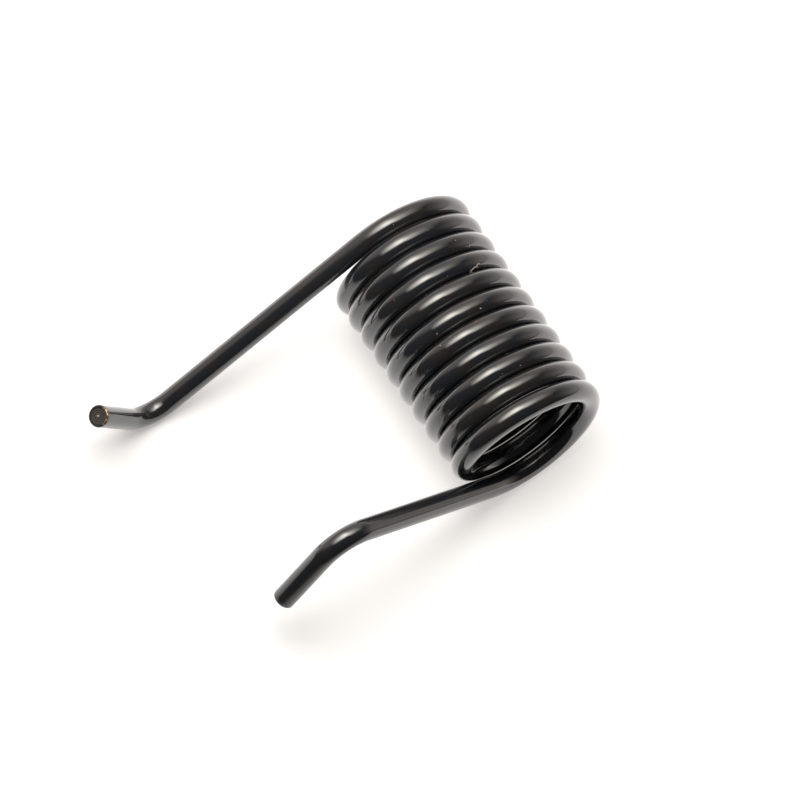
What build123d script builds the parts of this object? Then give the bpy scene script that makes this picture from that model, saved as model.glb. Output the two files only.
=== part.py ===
"""Torsion spring: one piece of round wire, wound left-hand, with two legs that end in bent feet.

The coil's axis is the Y axis and its middle is the origin.  The front end is towards -Y, and both legs
leave towards -X.  The spring lies on its coil and on the bend of the rear leg, with +Z up.
All sizes are millimetres and degrees.
"""
from build123d import *
import math
import os

# Wire
WIRE_D = 3.14             # stock 3.0 mm round wire with 0.07 mm of coating
CUT_EDGE_R = 0.22         # rounded edge of each sheared end

# Coil
COIL_MEAN_D = 19.9        # across the coil, from wire middle to wire middle
TURN_GAP = 0.13           # space between neighbouring turns, so that they never bind
WHOLE_TURNS = 10          # complete turns between the two legs' half turn

# Legs: straight, and square to the coil's axis
REAR_LEG_DROP = 29.0      # slope of the rear leg below the horizontal
REAR_LEG_L = 35.1         # straight run of the rear leg
FRONT_LEG_RISE = 31.5     # slope of the front leg above the horizontal
FRONT_LEG_L = 24.7        # straight run of the front leg
LEAD_BEND_R = 40.0        # gentle bend that turns the coil's slant into the leg's plane

# Feet: each leg's end is bent back across the other leg
BEND_R = 5.0              # to the wire's middle
REAR_BEND = 85.0          # turn of the rear leg's bend
FRONT_BEND = 85.0         # turn of the front leg's bend
REAR_FOOT_L = 8.6         # straight run of the rear foot
FRONT_FOOT_L = 9.9        # straight run of the front foot

COIL_R = COIL_MEAN_D / 2
COIL_PITCH = WIRE_D + TURN_GAP
WIRE_R = WIRE_D / 2
SWEEP_ANGLE = 360 * WHOLE_TURNS + 180 + REAR_LEG_DROP + FRONT_LEG_RISE
COIL_LENGTH = COIL_PITCH * SWEEP_ANGLE / 360
COIL_AXIS = Vector(0, 1, 0)


def leg_direction(slope):
    """Unit vector towards -X, square to the coil's axis, rising by slope degrees."""
    angle = math.radians(slope)
    return Vector(-math.cos(angle), 0, math.sin(angle))


def wire_section(start, direction):
    """The wire's round section, square to direction at start, its seam in the plane of the turn."""
    return Plane(origin=start, x_dir=COIL_AXIS.cross(direction), z_dir=direction) * Circle(WIRE_R)


def straight_run(start, direction, length):
    """A straight cylinder of wire, and the point where it ends."""
    solid = extrude(wire_section(start, direction), amount=length, dir=direction)
    return solid, start + direction * length


def bent_run(start, direction, new_direction, radius):
    """A piece of wire bent from direction to new_direction, and the point where it ends."""
    turn = direction.get_angle(new_direction)
    hinge = direction.cross(new_direction).normalized()
    centre = start + hinge.cross(direction) * radius
    bend_axis = Axis(centre, hinge)
    solid = revolve(wire_section(start, direction), axis=bend_axis, revolution_arc=turn)
    end = centre + (start - centre).rotate(Axis((0, 0, 0), hinge), turn)
    return solid, end


def coil():
    """The wound body, with the start and end of its helix and the direction out of each."""
    start_angle = math.radians(REAR_LEG_DROP)
    radial = (-math.sin(start_angle), 0, math.cos(start_angle))
    rear_plane = Plane(origin=(0, COIL_LENGTH / 2, 0), x_dir=radial, z_dir=-COIL_AXIS)
    helix = rear_plane.location * Helix(COIL_PITCH, COIL_LENGTH, COIL_R, lefthand=True)
    body = sweep(wire_section(helix @ 0, helix % 0), path=helix, is_frenet=True)
    return body, (helix @ 0, -(helix % 0)), (helix @ 1, helix % 1)


def leg(start, coil_direction, slope, leg_length, foot_slope, foot_length):
    """Leg and foot: out of the coil, straight, round the bend and straight to the cut end."""
    along_leg = leg_direction(slope)
    along_foot = leg_direction(foot_slope)
    lead, leg_start = bent_run(start, coil_direction, along_leg, LEAD_BEND_R)
    run, bend_start = straight_run(leg_start, along_leg, leg_length)
    bend, foot_start = bent_run(bend_start, along_leg, along_foot, BEND_R)
    foot, tip = straight_run(foot_start, along_foot, foot_length)
    cut_edge = foot.faces().sort_by_distance(tip)[0].edges()
    foot = fillet(cut_edge, CUT_EDGE_R)
    return [lead, run, bend, foot], tip


def torsion_spring():
    """The whole spring as one solid."""
    body, rear, front = coil()
    rear_pieces, rear_tip = leg(
        *rear, -REAR_LEG_DROP, REAR_LEG_L, REAR_BEND - REAR_LEG_DROP, REAR_FOOT_L
    )
    front_pieces, front_tip = leg(
        *front, FRONT_LEG_RISE, FRONT_LEG_L, FRONT_LEG_RISE - FRONT_BEND, FRONT_FOOT_L
    )
    spring = body.fuse(*rear_pieces, *front_pieces)
    print("rear foot tip ", rear_tip)
    print("front foot tip", front_tip)
    return spring


os.makedirs("parts", exist_ok=True)
spring = torsion_spring()
print("solids", len(spring.solids()), "faces", len(spring.faces()), "volume", round(spring.volume, 1))
print("box", spring.bounding_box())
export_step(spring, "parts/torsion_spring.step")
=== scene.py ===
# %% [markdown]
# # A torsion spring in black coated wire
#
# A torsion spring is one piece of hard round wire.  Its middle is wound into a close coil that sits on a
# pin, and its two ends leave the coil as legs.  When the legs are pushed together round the pin, the coil
# winds up and pushes back.  Each leg ends in a short foot, bent back across the other leg, which hooks
# into the part that the spring drives.
#
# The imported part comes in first.  It is the fixed frame: the origin is the middle of the coil, the coil's
# axis is Y, its front end is towards -Y, both legs leave towards -X, and Z is up.  Blender works in
# metres, so every size below is a number of millimetres times MM.

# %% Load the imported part
import math
import random

import bmesh
import bpy
from mathutils import Matrix, Vector


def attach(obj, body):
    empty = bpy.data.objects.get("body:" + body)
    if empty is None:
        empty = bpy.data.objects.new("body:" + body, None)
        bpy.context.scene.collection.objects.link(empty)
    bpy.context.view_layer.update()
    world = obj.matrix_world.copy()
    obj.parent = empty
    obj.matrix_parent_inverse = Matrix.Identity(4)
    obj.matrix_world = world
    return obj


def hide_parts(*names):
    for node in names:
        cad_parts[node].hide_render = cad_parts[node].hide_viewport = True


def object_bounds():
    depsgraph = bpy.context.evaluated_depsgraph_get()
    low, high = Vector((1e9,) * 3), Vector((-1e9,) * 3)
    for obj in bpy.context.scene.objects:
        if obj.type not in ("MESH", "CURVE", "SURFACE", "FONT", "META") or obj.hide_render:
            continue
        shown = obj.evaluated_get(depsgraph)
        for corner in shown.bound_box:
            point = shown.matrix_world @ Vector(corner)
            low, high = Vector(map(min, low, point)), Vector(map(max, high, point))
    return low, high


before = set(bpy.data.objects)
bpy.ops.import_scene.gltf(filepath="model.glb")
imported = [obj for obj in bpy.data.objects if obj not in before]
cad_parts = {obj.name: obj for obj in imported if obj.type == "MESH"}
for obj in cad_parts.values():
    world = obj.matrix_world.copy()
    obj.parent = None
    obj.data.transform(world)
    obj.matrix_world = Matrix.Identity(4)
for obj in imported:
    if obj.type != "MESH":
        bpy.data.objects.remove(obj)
cad_low, cad_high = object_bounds()
MM = 0.001
print("packed part, mm:", [round(side / MM, 2) for side in cad_high - cad_low])

# %% [markdown]
# ## The sizes on a spring maker's drawing
#
# A drawing of such a spring gives the wire, the coil and the two legs, and nothing else.  The same few
# sizes are set here, and all the rest is worked out from them.  The turns nearly touch, so the pitch is
# the wire and a thin gap.  A leg leaves the coil with the coil's slant, which is undone in a bend so
# gentle that nobody sees it: that is the lead bend.

# %% Sizes
WIRE_D = 3.14 * MM
TURN_GAP = 0.13 * MM
COIL_R = 9.95 * MM
WHOLE_TURNS = 10
LEAD_BEND_R = 40.0 * MM
BEND_R = 5.0 * MM
FOOT_BEND = 85.0

REAR_SLOPE = -29.0
REAR_LEG_L = 35.1 * MM
REAR_FOOT_L = 8.6 * MM

FRONT_SLOPE = 31.5
FRONT_LEG_L = 24.7 * MM
FRONT_FOOT_L = 9.9 * MM

COIL_PITCH = WIRE_D + TURN_GAP
PART_TURN = 180 - REAR_SLOPE + FRONT_SLOPE
SWEEP = 360 * WHOLE_TURNS + PART_TURN
COIL_LENGTH = COIL_PITCH * SWEEP / 360
COIL_AXIS = Vector((0, 1, 0))
print("coil length, mm:", round(COIL_LENGTH / MM, 2), "and sweep, degrees:", SWEEP)

# %% [markdown]
# ## Directions
#
# The legs and feet lie in planes square to the coil's axis, so one slope angle says where each of them
# points.  Along the coil, the direction comes from the circle and the pitch together.  A bend is fixed by
# the two directions that it joins: their cross product is its hinge, and the radius gives its centre.

# %% Direction and bend helpers
def out_at(slope):
    """Unit vector towards -X, square to the coil's axis, rising by slope degrees."""
    angle = math.radians(slope)
    return Vector((-math.cos(angle), 0, math.sin(angle)))


def turned(vector, axis, degrees):
    return Matrix.Rotation(math.radians(degrees), 3, axis) @ vector


def along_coil(radial):
    """The way the wire runs at the spot of the coil where radial points out from the axis."""
    once_round = COIL_AXIS.cross(radial) * (2 * math.pi * COIL_R)
    return (once_round - COIL_AXIS * COIL_PITCH).normalized()


def bend(point, before, after, radius):
    """Centre, hinge and angle of the bend from one direction to the next, and where it ends."""
    hinge = before.cross(after).normalized()
    centre = point + hinge.cross(before) * radius
    angle = math.degrees(before.angle(after))
    return centre, hinge, angle, centre + turned(point - centre, hinge, angle)


for name, slope in (("rear", REAR_SLOPE), ("front", FRONT_SLOPE)):
    print(name, "leg runs towards", [round(value, 3) for value in out_at(slope)])

# %% [markdown]
# ## Winding the wire
#
# A curve with a round bevel could make this wire, but its mesh and its ends are hard to control.  Here a
# ring of edges is the wire's section, and bmesh's spin operator pushes it along the route: with an angle
# and no shift it makes a bend, with a shift and no angle a straight run, and with both at once a coil.
# Each push starts from the ring that the last one left, so the wire is one skin.
#
# Every vertex also keeps its place in the wire: two numbers across the section and one along the length.
# The finish reads them later, so that the marks of the drawing die run along the wire and round the coil.

# %% The section ring, and the push
RING_SIDES = 48
mesh = bmesh.new()
wire_place = mesh.verts.layers.float_vector.new("wire_place")


def section_ring(point, along, distance):
    """The wire's round section at point, as vertices and edges that know their place in the wire."""
    side = COIL_AXIS.cross(along).normalized()
    up = along.cross(side)
    made = bmesh.ops.create_circle(
        mesh, cap_ends=False, radius=WIRE_D / 2, segments=RING_SIDES,
        matrix=Matrix.Translation(point) @ Matrix((side, up, along)).transposed().to_4x4(),
    )
    for vertex in made["verts"]:
        offset = vertex.co - point
        vertex[wire_place] = (offset.dot(side), offset.dot(up), distance)
    return made["verts"] + list({edge for vertex in made["verts"] for edge in vertex.link_edges})


def push(ring, steps, run, shift=Vector(), centre=Vector(), axis=COIL_AXIS, degrees=0.0):
    """Push the ring on in equal steps.  run is the length of wire made, below 0 where it goes backwards."""
    known = len(mesh.verts)
    start = next(part for part in ring if isinstance(part, bmesh.types.BMVert))[wire_place].z
    made = bmesh.ops.spin(
        mesh, geom=ring, cent=centre, axis=axis, angle=math.radians(degrees), dvec=shift / steps,
        steps=steps, use_merge=False, use_normal_flip=False, use_duplicate=False,
    )
    mesh.verts.ensure_lookup_table()
    for number in range(known, len(mesh.verts)):
        step = (number - known) // RING_SIDES + 1
        mesh.verts[number][wire_place].z = start + run * step / steps
    return made["geom_last"]


print("one side of the section, mm:", round(math.pi * WIRE_D / RING_SIDES / MM, 3))

# %% [markdown]
# ## The coil
#
# Ten turns are alike, and each step of a long spin looks through the whole mesh, so a spin of a thousand
# steps is slow.  One turn is pushed, and spin then repeats it with copies, a pitch apart: that is quick,
# and the turns come out exactly alike.  The last part of a turn starts from a new ring at the tenth turn's
# end.  The rings that fall on each other are merged afterwards.

# %% Ten whole turns, and the part turn that brings the wire round to the front leg
TURN_STEPS = 96
TURN_WIRE = math.hypot(2 * math.pi * COIL_R, COIL_PITCH)

rear_radial = turned(Vector((0, 0, 1)), COIL_AXIS, REAR_SLOPE)
coil_start = rear_radial * COIL_R + COIL_AXIS * (COIL_LENGTH / 2)

start_ring = section_ring(coil_start, along_coil(rear_radial), 0)
push(start_ring, TURN_STEPS, TURN_WIRE, shift=-COIL_AXIS * COIL_PITCH, degrees=360)
one_turn = list(mesh.verts) + list(mesh.edges) + list(mesh.faces)
turn_size = len(mesh.verts)
bmesh.ops.spin(
    mesh, geom=one_turn, cent=(0, 0, 0), axis=COIL_AXIS, angle=0, dvec=-COIL_AXIS * COIL_PITCH,
    steps=WHOLE_TURNS - 1, use_merge=False, use_normal_flip=False, use_duplicate=True,
)
for number, vertex in enumerate(mesh.verts):
    vertex[wire_place].z += number // turn_size * TURN_WIRE

last_whole = coil_start - COIL_AXIS * (COIL_PITCH * WHOLE_TURNS)
ring = section_ring(last_whole, along_coil(rear_radial), WHOLE_TURNS * TURN_WIRE)
coil_end_ring = push(
    ring, round(TURN_STEPS * PART_TURN / 360), TURN_WIRE * PART_TURN / 360,
    shift=-COIL_AXIS * (COIL_PITCH * PART_TURN / 360), degrees=PART_TURN,
)
print("wire in the coil, mm:", round(TURN_WIRE * SWEEP / 360 / MM, 1))

# %% [markdown]
# ## The legs and feet
#
# Both ends are made alike, outwards from the coil: the lead bend, the straight leg, the foot's bend and
# the straight foot.  The rear end runs against the wire's own direction, so its lengths count down.

# %% Both ends of the wire
LEAD_STEPS = 4
BEND_STEPS = 36
FOOT_STEPS = 12


def wire_end(ring, point, along, leg, leg_length, foot, foot_length, way):
    """Lead bend, leg, bend and foot, from the coil out to the tip.  Returns the tip and its ring."""
    centre, hinge, angle, point = bend(point, along, leg, LEAD_BEND_R)
    run = way * LEAD_BEND_R * math.radians(angle)
    ring = push(ring, LEAD_STEPS, run, centre=centre, axis=hinge, degrees=angle)
    ring = push(ring, round(leg_length / MM), way * leg_length, shift=leg * leg_length)
    point = point + leg * leg_length
    centre, hinge, angle, point = bend(point, leg, foot, BEND_R)
    run = way * BEND_R * math.radians(angle)
    ring = push(ring, BEND_STEPS, run, centre=centre, axis=hinge, degrees=angle)
    ring = push(ring, FOOT_STEPS, way * foot_length, shift=foot * foot_length)
    return point + foot * foot_length, ring


rear_foot = out_at(REAR_SLOPE + FOOT_BEND)
rear_ring = section_ring(coil_start, along_coil(rear_radial), 0)
rear_tip, rear_end = wire_end(
    rear_ring, coil_start, -along_coil(rear_radial), out_at(REAR_SLOPE), REAR_LEG_L, rear_foot,
    REAR_FOOT_L, -1,
)

front_foot = out_at(FRONT_SLOPE - FOOT_BEND)
front_radial = turned(rear_radial, COIL_AXIS, PART_TURN)
coil_end = front_radial * COIL_R - COIL_AXIS * (COIL_LENGTH / 2)
front_tip, front_end = wire_end(
    coil_end_ring, coil_end, along_coil(front_radial), out_at(FRONT_SLOPE), FRONT_LEG_L, front_foot,
    FRONT_FOOT_L, 1,
)
merged = len(mesh.verts)
bmesh.ops.remove_doubles(mesh, verts=mesh.verts, dist=0.001 * MM)
print("rings merged:", (merged - len(mesh.verts)) // RING_SIDES)
print("tips, mm:", [round(value / MM, 2) for value in (*rear_tip, *front_tip)])

# %% [markdown]
# ## The cut ends
#
# The wire is cut to length after it is coated, so each end is a flat face of bare steel with a soft rim.
# In the middle of the face stands a pip, the last bit of metal to tear.  The open ring is filled with one
# face, bevel rounds its rim, and a few insets with a little depth raise the pip.
#
# The rim is coloured as bare coppery metal only on the side that faces +X and the light, which is partly
# wear and partly a painted reflection.  Those faces get a material of their own, and the new vertices are
# told their place in the wire too, because the finish of the face is drawn in rings round its middle.

# %% Close both ends
CUT_EDGE_R = 0.22 * MM
FACE_INSET = 0.14 * MM
FACE_SINK = 0.03 * MM
PIP_R = 0.20 * MM
PIP_RISE = 0.10 * MM
PIP_TOP = 0.12 * MM
# The rim faces on the side towards +X get the coppery finish: partly wear, partly a painted reflection.
LIT_RIM_SIDE = Vector((0.67, -0.60, 0.45))
LIT_RIM_BEYOND = 0.22 * WIRE_D
CUT_FACE = 1
WORN_LIT_RIM = 2


def inset(face, width, rise):
    """Shrink the face by width and lift it by rise.  Returns the faces made round it."""
    return bmesh.ops.inset_individual(mesh, faces=[face], thickness=width, depth=rise)["faces"]


def close_end(end_ring, tip, foot, way):
    """Fill the ring, round its rim, and sink the face a little round a raised pip."""
    rim = [part for part in end_ring if isinstance(part, bmesh.types.BMEdge)]
    distance = rim[0].verts[0][wire_place].z
    face = bmesh.ops.edgeloop_fill(mesh, edges=rim)["faces"][0]
    made = bmesh.ops.bevel(
        mesh, geom=list(face.edges), offset=CUT_EDGE_R, offset_type="OFFSET", segments=5,
        profile=0.5, affect="EDGES", material=-1,
    )
    rounded = [part for part in made["faces"] if len(part.verts) == 4]
    face = next(part for part in mesh.faces if len(part.verts) == RING_SIDES)
    rounded += inset(face, FACE_INSET, -FACE_SINK)
    for part in rounded:
        # Only rim faces on the side towards +X, where the light falls, take the coppery finish: a painted
        # reflection over worn metal.
        if (part.calc_center_median() - tip).dot(LIT_RIM_SIDE) > LIT_RIM_BEYOND:
            part.material_index = WORN_LIT_RIM

    flat = WIRE_D / 2 - CUT_EDGE_R - FACE_INSET - 2 * PIP_R
    cut = inset(face, flat, 0) + inset(face, PIP_R, 0) + inset(face, PIP_R - PIP_TOP, PIP_RISE)
    cut += bmesh.ops.poke(mesh, faces=[face])["faces"]
    for part in cut:
        part.material_index = CUT_FACE

    side = COIL_AXIS.cross(foot * way)
    up = (foot * way).cross(side)
    for vertex in {vertex for part in cut + rounded for vertex in part.verts}:
        offset = vertex.co - tip
        vertex[wire_place] = (offset.dot(side), offset.dot(up), distance)
    return len(rounded), len(cut)


bmesh.ops.recalc_face_normals(mesh, faces=mesh.faces)
print("rear rim and cut faces:", close_end(rear_end, rear_tip, rear_foot, -1))
print("front rim and cut faces:", close_end(front_end, front_tip, front_foot, 1))
bmesh.ops.recalc_face_normals(mesh, faces=mesh.faces)
for face in mesh.faces:
    face.smooth = True
print("open edges:", sum(edge.is_boundary for edge in mesh.edges))

# %% [markdown]
# ## The finished wire
#
# The bmesh becomes an object that stands for the imported node.  Its origin stays where the frame's is, and
# its place is in its mesh.  The imported node is hidden, and this piece rides on the root body.

# %% From bmesh to an object
wire_mesh = bpy.data.meshes.new("spring_wire")
mesh.to_mesh(wire_mesh)
mesh.free()
wire = bpy.data.objects.new("spring_wire", wire_mesh)
bpy.context.scene.collection.objects.link(wire)
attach(wire, "root")
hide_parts("torsion_spring")
print("wire:", len(wire_mesh.polygons), "faces")

# %% [markdown]
# ## Node helpers
#
# A material is a small network of nodes.  A few helpers keep it readable: one adds a node and fills its
# inputs, each with a value or with another node's output.  One does a sum, one blends two colours, one
# makes a soft step, and one makes soft patches.

# %% Adding nodes
def add(tree, kind, inputs=None, **settings):
    """Add a node to the tree.  Each input gets a value, or the output socket of another node."""
    made = tree.nodes.new("ShaderNode" + kind)
    for name, value in settings.items():
        setattr(made, name, value)
    for key, value in (inputs or {}).items():
        if isinstance(value, bpy.types.NodeSocket):
            tree.links.new(value, made.inputs[key])
        else:
            made.inputs[key].default_value = value
    return made


def calculate(tree, operation, *values):
    return add(tree, "Math", dict(enumerate(values)), operation=operation).outputs[0]


def blend(tree, share, first, second):
    return add(tree, "MixRGB", {"Fac": share, "Color1": first, "Color2": second}).outputs[0]


def step(tree, value, start, end):
    """0 before start and 1 after end, with a soft passage between them."""
    inputs = {"Value": value, "From Min": start, "From Max": end}
    return add(tree, "MapRange", inputs, interpolation_type="SMOOTHSTEP").outputs[0]


def patches(tree, scale, start, end):
    """Soft patches of 0 and 1 that are fixed to the piece.  start and end set their share and softness."""
    place = add(tree, "TexCoord").outputs["Object"]
    noise = add(tree, "TexNoise", {"Vector": place, "Scale": scale, "Detail": 3.0})
    return step(tree, noise.outputs["Fac"], start, end)


def new_material(name):
    """An empty node material with its Principled shader."""
    material = bpy.data.materials.new(name)
    material.use_nodes = True
    return material, material.node_tree, material.node_tree.nodes["Principled BSDF"]


print("helpers ready; Blender", bpy.app.version_string)

# %% [markdown]
# ## The black coating
#
# Spring wire like this is blackened and then dipped in a thin clear lacquer.  The lacquer is smooth enough
# to mirror a lamp with a sharp edge, and under it lie the fine lines that the drawing die left along the
# wire.  The coat layer is the mirror, and the layer under it is rougher and hardly shines.
#
# The lines come from a noise that is stretched along the wire by reading wire_place, and they tilt both
# layers a little.  A film of handling dirt makes the black a trace browner in patches.

# %% Coating material
COATING_IOR = 1.75
LINE_WIDTH = 0.12 * MM
LINE_LENGTH = 10.0 * MM
LINE_DEPTH = 0.0007 * MM
CLEAN_BLACK = (0.013, 0.0155, 0.020, 1)
SOILED_BLACK = (0.019, 0.0175, 0.0175, 1)
FILM_SCALE = 0.3 / MM

coating, tree, paint = new_material("black_coating")
place = add(tree, "Attribute", attribute_name="wire_place").outputs["Vector"]
stretch = (1 / LINE_WIDTH, 1 / LINE_WIDTH, 1 / LINE_LENGTH)
stretched = add(tree, "VectorMath", {0: place, 1: stretch}, operation="MULTIPLY").outputs[0]
lines = add(tree, "TexNoise", {"Vector": stretched, "Scale": 1.0, "Detail": 2.0}).outputs["Fac"]
bump = add(tree, "Bump", {"Height": lines, "Strength": 1.0, "Distance": LINE_DEPTH}).outputs[0]
film = patches(tree, FILM_SCALE, 0.42, 0.62)
tree.links.new(blend(tree, film, CLEAN_BLACK, SOILED_BLACK), paint.inputs["Base Color"])
tree.links.new(bump, paint.inputs["Normal"])
tree.links.new(bump, paint.inputs["Coat Normal"])
paint.inputs["Roughness"].default_value = 0.16
paint.inputs["IOR"].default_value = 1.5
paint.inputs["Specular IOR Level"].default_value = 0.2
paint.inputs["Coat Weight"].default_value = 1.0
paint.inputs["Coat Roughness"].default_value = 0.05
paint.inputs["Coat IOR"].default_value = COATING_IOR
wire_mesh.materials.append(coating)
print("coating nodes:", len(tree.nodes))

# %% [markdown]
# ## The bare metal of the ends
#
# The shear that cuts the wire leaves a dull grey face, with faint rings round its middle where the metal
# was squeezed, and the pip in the middle is painted pale as a painted highlight.  The rings are a sine of
# the distance from the wire's middle, which tints the face and gives it a little relief.  The rim shows the
# coppery first coat that the black is laid over, dark again in the spots that it still covers, but only on
# the side of the rim that faces +X and the light: it is partly wear and partly a painted reflection.

# %% Cut face
RING_GAP = 0.30 * MM
RING_DEPTH = 0.010 * MM
RING_DARK = (0.008, 0.007, 0.007, 1)
RING_PALE = (0.095, 0.085, 0.075, 1)
# The pip's pale tone is a painted highlight.
PIP_PAINTED_HIGHLIGHT = (0.42, 0.41, 0.38, 1)

cut_metal, tree, metal = new_material("cut_face")
place = add(tree, "Attribute", attribute_name="wire_place").outputs["Vector"]
across = add(tree, "VectorMath", {0: place, 1: (1, 1, 0)}, operation="MULTIPLY").outputs[0]
from_middle = add(tree, "VectorMath", {0: across}, operation="LENGTH").outputs["Value"]
wave = calculate(tree, "SINE", calculate(tree, "MULTIPLY", from_middle, 2 * math.pi / RING_GAP))
wave = calculate(tree, "MULTIPLY_ADD", wave, 0.5, 0.5)
# The pip is painted pale, a painted highlight, and the rest of the face shows its rings.
off_pip = step(tree, from_middle, 0.3 * PIP_R, 1.1 * PIP_R)
face_tone = blend(tree, off_pip, PIP_PAINTED_HIGHLIGHT, blend(tree, wave, RING_DARK, RING_PALE))
bump = add(tree, "Bump", {"Height": wave, "Strength": 1.0, "Distance": RING_DEPTH}).outputs[0]
tree.links.new(face_tone, metal.inputs["Base Color"])
tree.links.new(bump, metal.inputs["Normal"])
metal.inputs["Roughness"].default_value = 0.38
wire_mesh.materials.append(cut_metal)
print("rings across the face:", round((WIRE_D / 2 - CUT_EDGE_R) / RING_GAP, 1))

# %% Worn rim with a painted reflection
# The coppery tone is partly worn metal and partly a painted reflection; the dark tone is the coat still left
# in spots.
COVERED_TONE = (0.12, 0.08, 0.06, 1)
COPPER_WEAR_AND_SHEEN = (0.55, 0.40, 0.30, 1)
RUB_SCALE = 2.2 / MM

rim_wear_and_sheen, tree, metal = new_material("rim_wear_and_painted_sheen")
rubbed = patches(tree, RUB_SCALE, 0.40, 0.58)
tree.links.new(blend(tree, rubbed, COVERED_TONE, COPPER_WEAR_AND_SHEEN), metal.inputs["Base Color"])
metal.inputs["Metallic"].default_value = 0.8
metal.inputs["Roughness"].default_value = 0.4
wire_mesh.materials.append(rim_wear_and_sheen)
print("materials on the wire:", [material.name for material in wire_mesh.materials])

# %% [markdown]
# ## Dust
#
# The lacquer is clean but for a sprinkle of dust and a few fibres that have settled on it.  They are tiny
# closed shapes: a grain is a squashed icosphere, and a fibre is a thin ring that is spun through a few
# arcs, which is how a loose fibre curls.  All of them are placed by turn, clock angle and angle round the
# wire, so that they lie on the skin.  The larger ones have chosen places, and the rest are scattered with
# a seed, so that every run scatters them alike.
#
# Some grains are grey lint and some are brown grit.  Each vertex keeps how brown its grain is in an
# attribute, and one material mixes its colour by it.

# %% Places on the coil
def on_coil(turn, clock, round_wire):
    """A point on the wire's skin, the way out of the skin there, and the way along the wire.

    turn counts from the rear.  clock is the angle from the top of the coil towards +X.  round_wire is the
    angle round the section, from straight out towards the front.
    """
    radial = turned(Vector((0, 0, 1)), COIL_AXIS, clock)
    along = along_coil(radial)
    out = turned(radial, along, round_wire)
    along_axis = COIL_LENGTH / 2 - COIL_PITCH * (turn + (clock - REAR_SLOPE) / 360)
    return radial * COIL_R + COIL_AXIS * along_axis + out * (WIRE_D / 2), out, along


# %% Shapes of a grain and a fibre
FIBRE_SIDES = 6
FIBRE_STEPS = 8
FIBRE_BROWN = 0.35
GRAIN_SHAPE = Matrix.Diagonal((0.6, 1, 0.35, 1))
dust = bmesh.new()
brown = dust.verts.layers.float.new("brown")


def grain(turn, clock, round_wire, size, share_brown):
    """A flat grain that lies on the skin.  size is half its length in millimetres."""
    point, out, along = on_coil(turn, clock, round_wire)
    stand = Matrix((out.cross(along), along, out)).transposed().to_4x4()
    made = bmesh.ops.create_icosphere(
        dust, subdivisions=2, radius=size * MM, matrix=Matrix.Translation(point) @ stand @ GRAIN_SHAPE
    )
    for vertex in made["verts"]:
        vertex[brown] = share_brown


def fibre(turn, clock, round_wire, heading, thickness, arcs):
    """A thread that lies close to the skin.  Each arc is a radius in millimetres and an angle."""
    point, out, along = on_coil(turn, clock, round_wire)
    way = turned(along, out, heading)
    point = point + out * (thickness * MM)
    stand = Matrix((out.cross(way), out, way)).transposed().to_4x4()
    made = bmesh.ops.create_circle(
        dust, cap_ends=False, radius=thickness * MM, segments=FIBRE_SIDES,
        matrix=Matrix.Translation(point) @ stand,
    )
    thread = set(made["verts"])
    ring = made["verts"] + list({edge for vertex in made["verts"] for edge in vertex.link_edges})
    for radius, degrees in arcs:
        centre = point + out.cross(way) * math.copysign(radius * MM, degrees)
        known = set(dust.verts)
        made = bmesh.ops.spin(
            dust, geom=ring, cent=centre, axis=out, angle=math.radians(degrees), dvec=(0, 0, 0),
            steps=FIBRE_STEPS, use_merge=False, use_normal_flip=False, use_duplicate=False,
        )
        thread |= set(dust.verts) - known
        ring = made["geom_last"]
        point = centre + turned(point - centre, out, degrees)
        way = turned(way, out, degrees)
    for vertex in thread:
        vertex[brown] = FIBRE_BROWN
    edges = {edge for vertex in thread for edge in vertex.link_edges}
    bmesh.ops.holes_fill(dust, edges=[edge for edge in edges if edge.is_boundary], sides=FIBRE_SIDES)


print("a grain is", [round(side, 2) for side in GRAIN_SHAPE.to_scale()], "of its length")

# %% Scatter them
PLACED_GRAINS = (
    (5, 8, 40, 0.16, 0), (5, -28, 40, 0.15, 0.8), (6, -31, -20, 0.13, 0.6), (6, -1, -29, 0.17, 1),
    (2, 22, 7, 0.09, 0.2), (4, -12, -3, 0.07, 0.3), (8, 8, 44, 0.10, 0.5), (7, -67, -13, 0.12, 0.5),
    (6, -72, 65, 0.10, 0.7), (3, 37, 60, 0.10, 1),
)
LOOSE_GRAINS = 90
PLACED_FIBRES = (
    (3, 22.2, 84, 92, 0.08, ((1.8, -25), (0.5, -110), (0.3, -60))),
    (3, 27.5, 52, 70, 0.09, ((0.35, -100),)),
    (2, 33, 60, 80, 0.03, ((0.8, 40),)),
    (7, -68, 10, 20, 0.03, ((1.5, 40), (0.6, -70))),
)

for placed in PLACED_GRAINS:
    grain(*placed)
chance = random.Random(7)
for _ in range(LOOSE_GRAINS):
    turn = chance.randrange(WHOLE_TURNS)
    clock = chance.uniform(-110, 100)
    grain(turn, clock, chance.uniform(-70, 80), chance.uniform(0.03, 0.07), chance.random())

for placed in PLACED_FIBRES:
    fibre(*placed)

bmesh.ops.recalc_face_normals(dust, faces=dust.faces)
for face in dust.faces:
    face.smooth = True
print("dust:", len(dust.faces), "faces, open edges:", sum(edge.is_boundary for edge in dust.edges))
dust_mesh = bpy.data.meshes.new("dust")
dust.to_mesh(dust_mesh)
dust.free()
dust_piece = bpy.data.objects.new("dust", dust_mesh)
bpy.context.scene.collection.objects.link(dust_piece)
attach(dust_piece, "root")

# %% Dust material
LINT_GREY = (0.40, 0.40, 0.38, 1)
GRIT_BROWN = (0.26, 0.14, 0.08, 1)

dirt, tree, matt = new_material("dust")
share = add(tree, "Attribute", attribute_name="brown").outputs["Fac"]
tree.links.new(blend(tree, share, LINT_GREY, GRIT_BROWN), matt.inputs["Base Color"])
matt.inputs["Roughness"].default_value = 0.8
matt.inputs["Specular IOR Level"].default_value = 0.2
dust_mesh.materials.append(dirt)
print("pieces so far:", [piece.name for piece in (wire, dust_piece)])

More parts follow.
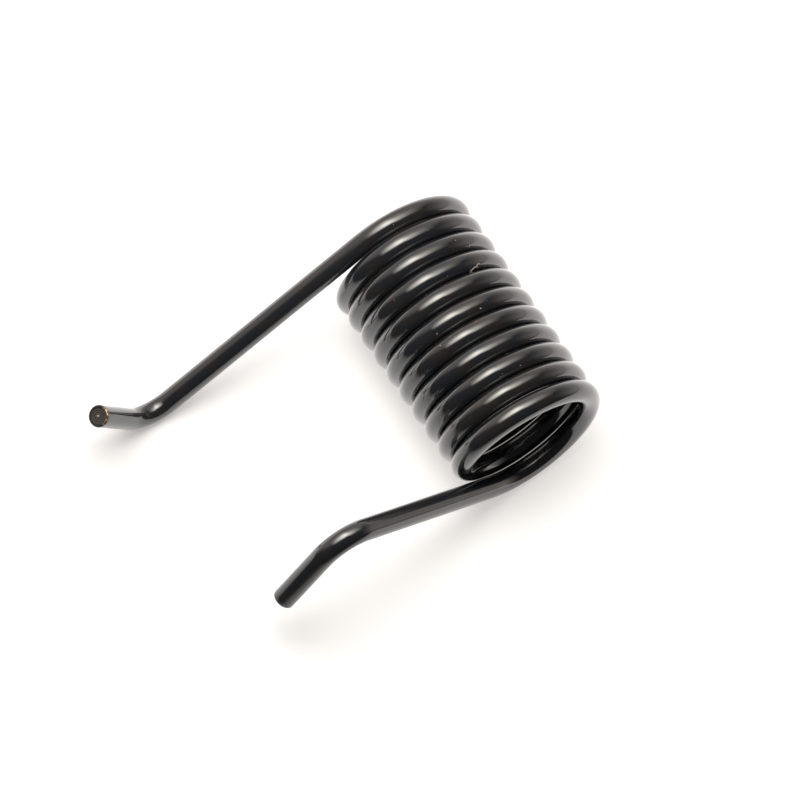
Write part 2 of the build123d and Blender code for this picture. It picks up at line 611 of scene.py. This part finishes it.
# %% [markdown]
# ## The set
#
# The spring lies on a sheet of white paper.  A glossy black thing is seen almost only by what it mirrors,
# so the paper matters as much for its reflection as for its own look.  It reaches far to the bright side
# of the studio.  Towards its near corner it is painted darker for every ray but the camera's, a painted
# shade, and that gives the left flank of the coil its soft passage from pale to dark.
#
# The paper is a matt off-white under plain light.  Rays that show it as background, from the camera, off
# gloss or through glass, see it lifted to white, while light that bounces off it does not.  The lift is
# small round the legs and grows away from them, so the spring keeps its shadow and the rest is clean.

# %% Paper floor
SHEET_FROM = Vector((-0.150, -0.150))
SHEET_TO = Vector((1.0, 1.0))

middle = (SHEET_FROM + SHEET_TO) / 2
half = (SHEET_TO - SHEET_FROM) / 2
floor_mesh = bpy.data.meshes.new("paper")
sheet = bmesh.new()
bmesh.ops.create_grid(
    sheet, x_segments=1, y_segments=1, size=1.0,
    matrix=Matrix.Translation((*middle, cad_low.z)) @ Matrix.Diagonal((*half, 1, 1)),
)
sheet.to_mesh(floor_mesh)
sheet.free()
floor = bpy.data.objects.new("paper", floor_mesh)
bpy.context.scene.collection.objects.link(floor)
print("paper, mm:", [round(side / MM) for side in SHEET_TO - SHEET_FROM])

# %% Paper material
PAPER_COLOR = (0.74, 0.76, 0.80, 1)
# The colour of the painted shade towards the paper's near corner.
CORNER_PAINTED_SHADE = (0.1, 0.1, 0.1, 1)
LIFT_COLOR = (1, 0.955, 0.915, 1)
LIFT_NEAR = 0.33
LIFT_FAR = 1.0
NEAR_LEGS = 10 * MM
FAR_FROM_LEGS = 122 * MM
LEGS_AT = Vector((-45, 0, -12)) * MM
DARK_BEFORE = -145 * MM
PALE_FROM = -30 * MM

paper, tree, matt = new_material("white_paper")
place = add(tree, "TexCoord").outputs["Object"]
to_corner = add(tree, "VectorMath", {0: place, 1: (1, 1, 0)}, operation="DOT_PRODUCT").outputs["Value"]
# mirrored falls to 0 towards the near corner, where the paper is painted dark: painted shade.
mirrored = step(tree, to_corner, DARK_BEFORE, PALE_FROM)
path = add(tree, "LightPath").outputs
direct = calculate(tree, "MAXIMUM", path["Is Camera Ray"], path["Is Transmission Ray"])
shown = calculate(tree, "MAXIMUM", direct, calculate(tree, "MULTIPLY", path["Is Glossy Ray"], mirrored))

from_legs = add(tree, "VectorMath", {0: place, 1: LEGS_AT}, operation="DISTANCE").outputs["Value"]
reach = {"From Min": NEAR_LEGS, "From Max": FAR_FROM_LEGS, "To Min": LIFT_NEAR, "To Max": LIFT_FAR}
lift = add(tree, "MapRange", {"Value": from_legs, **reach}).outputs[0]
# For all rays but the camera's the paper is painted dark towards its near corner: painted shade.
tone = blend(tree, calculate(tree, "MAXIMUM", direct, mirrored), CORNER_PAINTED_SHADE, PAPER_COLOR)
tree.links.new(tone, matt.inputs["Base Color"])
tree.links.new(calculate(tree, "MULTIPLY", shown, lift), matt.inputs["Emission Strength"])
matt.inputs["Emission Color"].default_value = LIFT_COLOR
matt.inputs["Roughness"].default_value = 1.0
matt.inputs["Specular IOR Level"].default_value = 0.0
floor_mesh.materials.append(paper)
print("paper nodes:", len(tree.nodes))

# %% [markdown]
# ## The softbox
#
# One warm softbox hangs over the spring, and each turn shows it as a comet: a bright head with a long
# tail towards +X.  An even lamp would give an even stripe, so the lamp's own glow is shaped.  An area
# lamp's shader can read where on the lamp it is, and two colour ramps, one along X and one along Y, dim
# the glow towards the edges.  Towards +X the glow is also shifted towards -Y, which bends the comet's tail.
#
# The energy is set from the radiance at the brightest spot: an area lamp of one watt for every square
# metre, times pi, shines with a radiance of 1.

# %% Softbox
SOFTBOX_LOW = Vector((-125, -60)) * MM
SOFTBOX_HIGH = Vector((140, 190)) * MM
SOFTBOX_Z = 140 * MM
SOFTBOX_LEVEL = 8.8
SOFTBOX_COLOR = (1, 0.96, 0.88)
GLOW_ALONG_X = (
    (0, 0), (0.1, 0.2), (0.28, 0.7), (0.35, 1), (0.4, 1), (0.5, 0.48), (0.66, 0.17), (0.84, 0.05), (1, 0),
)
GLOW_ALONG_Y = ((0, 0), (0.09, 0.3), (0.2, 1), (0.38, 1), (0.5, 0.56), (0.7, 0.19), (1, 0.06))
GLOW_FROM_Y = -35 * MM
TAIL_SHIFT = 24 * MM
TAIL_FROM_X = -20 * MM
TAIL_TO_X = 15 * MM


def ramp(tree, value, start, end, stops):
    """A level that follows value from start to end, through stops of (share of the way, level)."""
    share = add(tree, "MapRange", {"Value": value, "From Min": start, "From Max": end}).outputs[0]
    made = add(tree, "ValToRGB", {"Fac": share})
    points = made.color_ramp.elements
    for position, _ in stops[1:-1]:
        points.new(position)
    for point, (position, level) in zip(points, stops):
        point.position = position
        point.color = (level, level, level, 1)
    return made.outputs["Color"]


size = SOFTBOX_HIGH - SOFTBOX_LOW
softbox_lamp = bpy.data.lights.new("softbox", "AREA")
softbox_lamp.shape = "RECTANGLE"
softbox_lamp.size = size.x
softbox_lamp.size_y = size.y
softbox_lamp.energy = math.pi * size.x * size.y * SOFTBOX_LEVEL
softbox_lamp.color = SOFTBOX_COLOR
softbox_lamp.use_nodes = True
tree = softbox_lamp.node_tree
spot = add(tree, "NewGeometry").outputs["Position"]
spot = add(tree, "SeparateXYZ", {0: spot}).outputs
shift = calculate(tree, "MULTIPLY", step(tree, spot["X"], TAIL_FROM_X, TAIL_TO_X), TAIL_SHIFT)
shifted_y = calculate(tree, "ADD", spot["Y"], shift)
glow_x = ramp(tree, spot["X"], SOFTBOX_LOW.x, SOFTBOX_HIGH.x, GLOW_ALONG_X)
glow_y = ramp(tree, shifted_y, GLOW_FROM_Y, SOFTBOX_HIGH.y, GLOW_ALONG_Y)
emission = next(node for node in tree.nodes if node.bl_idname == "ShaderNodeEmission")
tree.links.new(calculate(tree, "MULTIPLY", glow_x, glow_y), emission.inputs["Strength"])

softbox = bpy.data.objects.new("softbox", softbox_lamp)
softbox.location = (*(SOFTBOX_LOW + SOFTBOX_HIGH) / 2, SOFTBOX_Z)
softbox.visible_camera = False
bpy.context.scene.collection.objects.link(softbox)
print("softbox, watts:", round(softbox_lamp.energy, 2))

# %% [markdown]
# ## The studio round it
#
# The rest of what the lacquer mirrors is the room, which the world stands for.  Most of it is dark, and it
# makes the black of the spring.  Towards +X and +Y a pale wall rises from the horizon and fades upwards,
# and a reflector stands behind the spring: they make the grey bands along the far side of each turn.
#
# A direction is compared with the way that the wall faces by a dot product, which is 1 straight ahead and
# falls off to all sides, so that a soft step of it makes a soft round patch.  The camera itself sees the
# world plain white.

# %% World
ROOM_DARK = (0.050, 0.046, 0.046)
ROOM_BRIGHT = (0.68, 0.62, 0.575)
WALL_BY_HEIGHT = ((0, 0), (0.1, 1.5), (0.25, 1.4), (0.5, 0.9), (0.75, 0.4), (1, 0))
WALL_FROM = -0.1
WALL_TO = 0.7
WALL_AT = (50, 0)
REFLECTOR_AT = (85, 35)


def facing(tree, way, azimuth, up):
    """How much a direction faces the given azimuth and height, in degrees: 1 is straight at it."""
    level = math.cos(math.radians(up))
    aim = (
        level * math.cos(math.radians(azimuth)),
        level * math.sin(math.radians(azimuth)),
        math.sin(math.radians(up)),
    )
    return add(tree, "VectorMath", {0: way, 1: aim}, operation="DOT_PRODUCT").outputs["Value"]


world = bpy.data.worlds.new("studio")
bpy.context.scene.world = world
world.use_nodes = True
tree = world.node_tree
way = add(tree, "TexCoord").outputs["Generated"]
height = add(tree, "SeparateXYZ", {0: way}).outputs["Z"]
wall = ramp(tree, height, WALL_FROM, WALL_TO, WALL_BY_HEIGHT)
wall = calculate(tree, "MULTIPLY", wall, step(tree, facing(tree, way, *WALL_AT), -0.3, 0.35))
reflector = step(tree, facing(tree, way, *REFLECTOR_AT), 0.35, 0.85)
bright = calculate(tree, "MAXIMUM", wall, reflector)
room = add(tree, "VectorMath", {0: ROOM_BRIGHT, "Scale": bright}, operation="SCALE").outputs[0]
room = add(tree, "VectorMath", {0: room, 1: ROOM_DARK}, operation="MAXIMUM").outputs[0]
path = add(tree, "LightPath").outputs
direct = calculate(tree, "MAXIMUM", path["Is Camera Ray"], path["Is Transmission Ray"])
background = tree.nodes["Background"]
tree.links.new(blend(tree, direct, room, (1, 1, 1, 1)), background.inputs["Color"])
background.inputs["Strength"].default_value = 1.0
print("world nodes:", len(tree.nodes))

# %% [markdown]
# ## The camera
#
# The spring is seen from well above, over its front left corner, with a long lens from about half a metre
# away.  The camera's place is given in turns: round the upright axis, then down to the viewing height,
# then a little roll, and last the shift back along the view, so each number can be changed by itself.
# Depth of field stays off and colours are shown by the Standard transform, as they are written.

# %% Camera
CAMERA_TURN = -40.739
CAMERA_RISE = 66.892
CAMERA_ROLL = 8.586
CAMERA_AT = Vector((-8.951, -7.676, 479.665)) * MM
CAMERA_LENS = 155.111

camera_data = bpy.data.cameras.new("camera")
camera_data.lens = CAMERA_LENS
camera_data.clip_start = 0.01
camera = bpy.data.objects.new("camera", camera_data)
bpy.context.scene.collection.objects.link(camera)
camera.matrix_world = (
    Matrix.Rotation(math.radians(CAMERA_TURN), 4, "Z")
    @ Matrix.Rotation(math.radians(90 - CAMERA_RISE), 4, "X")
    @ Matrix.Rotation(math.radians(CAMERA_ROLL), 4, "Z")
    @ Matrix.Translation(CAMERA_AT)
)
bpy.context.scene.camera = camera
bpy.context.scene.view_settings.view_transform = "Standard"
print("camera, mm:", [round(value / MM) for value in camera.matrix_world.translation])

# %% [markdown]
# ## Last measurements
#
# The imported part's box is printed, in millimetres.

# %% The packed box
print("packed box, mm: ", [round(value / MM, 3) for value in (*cad_low, *cad_high)])
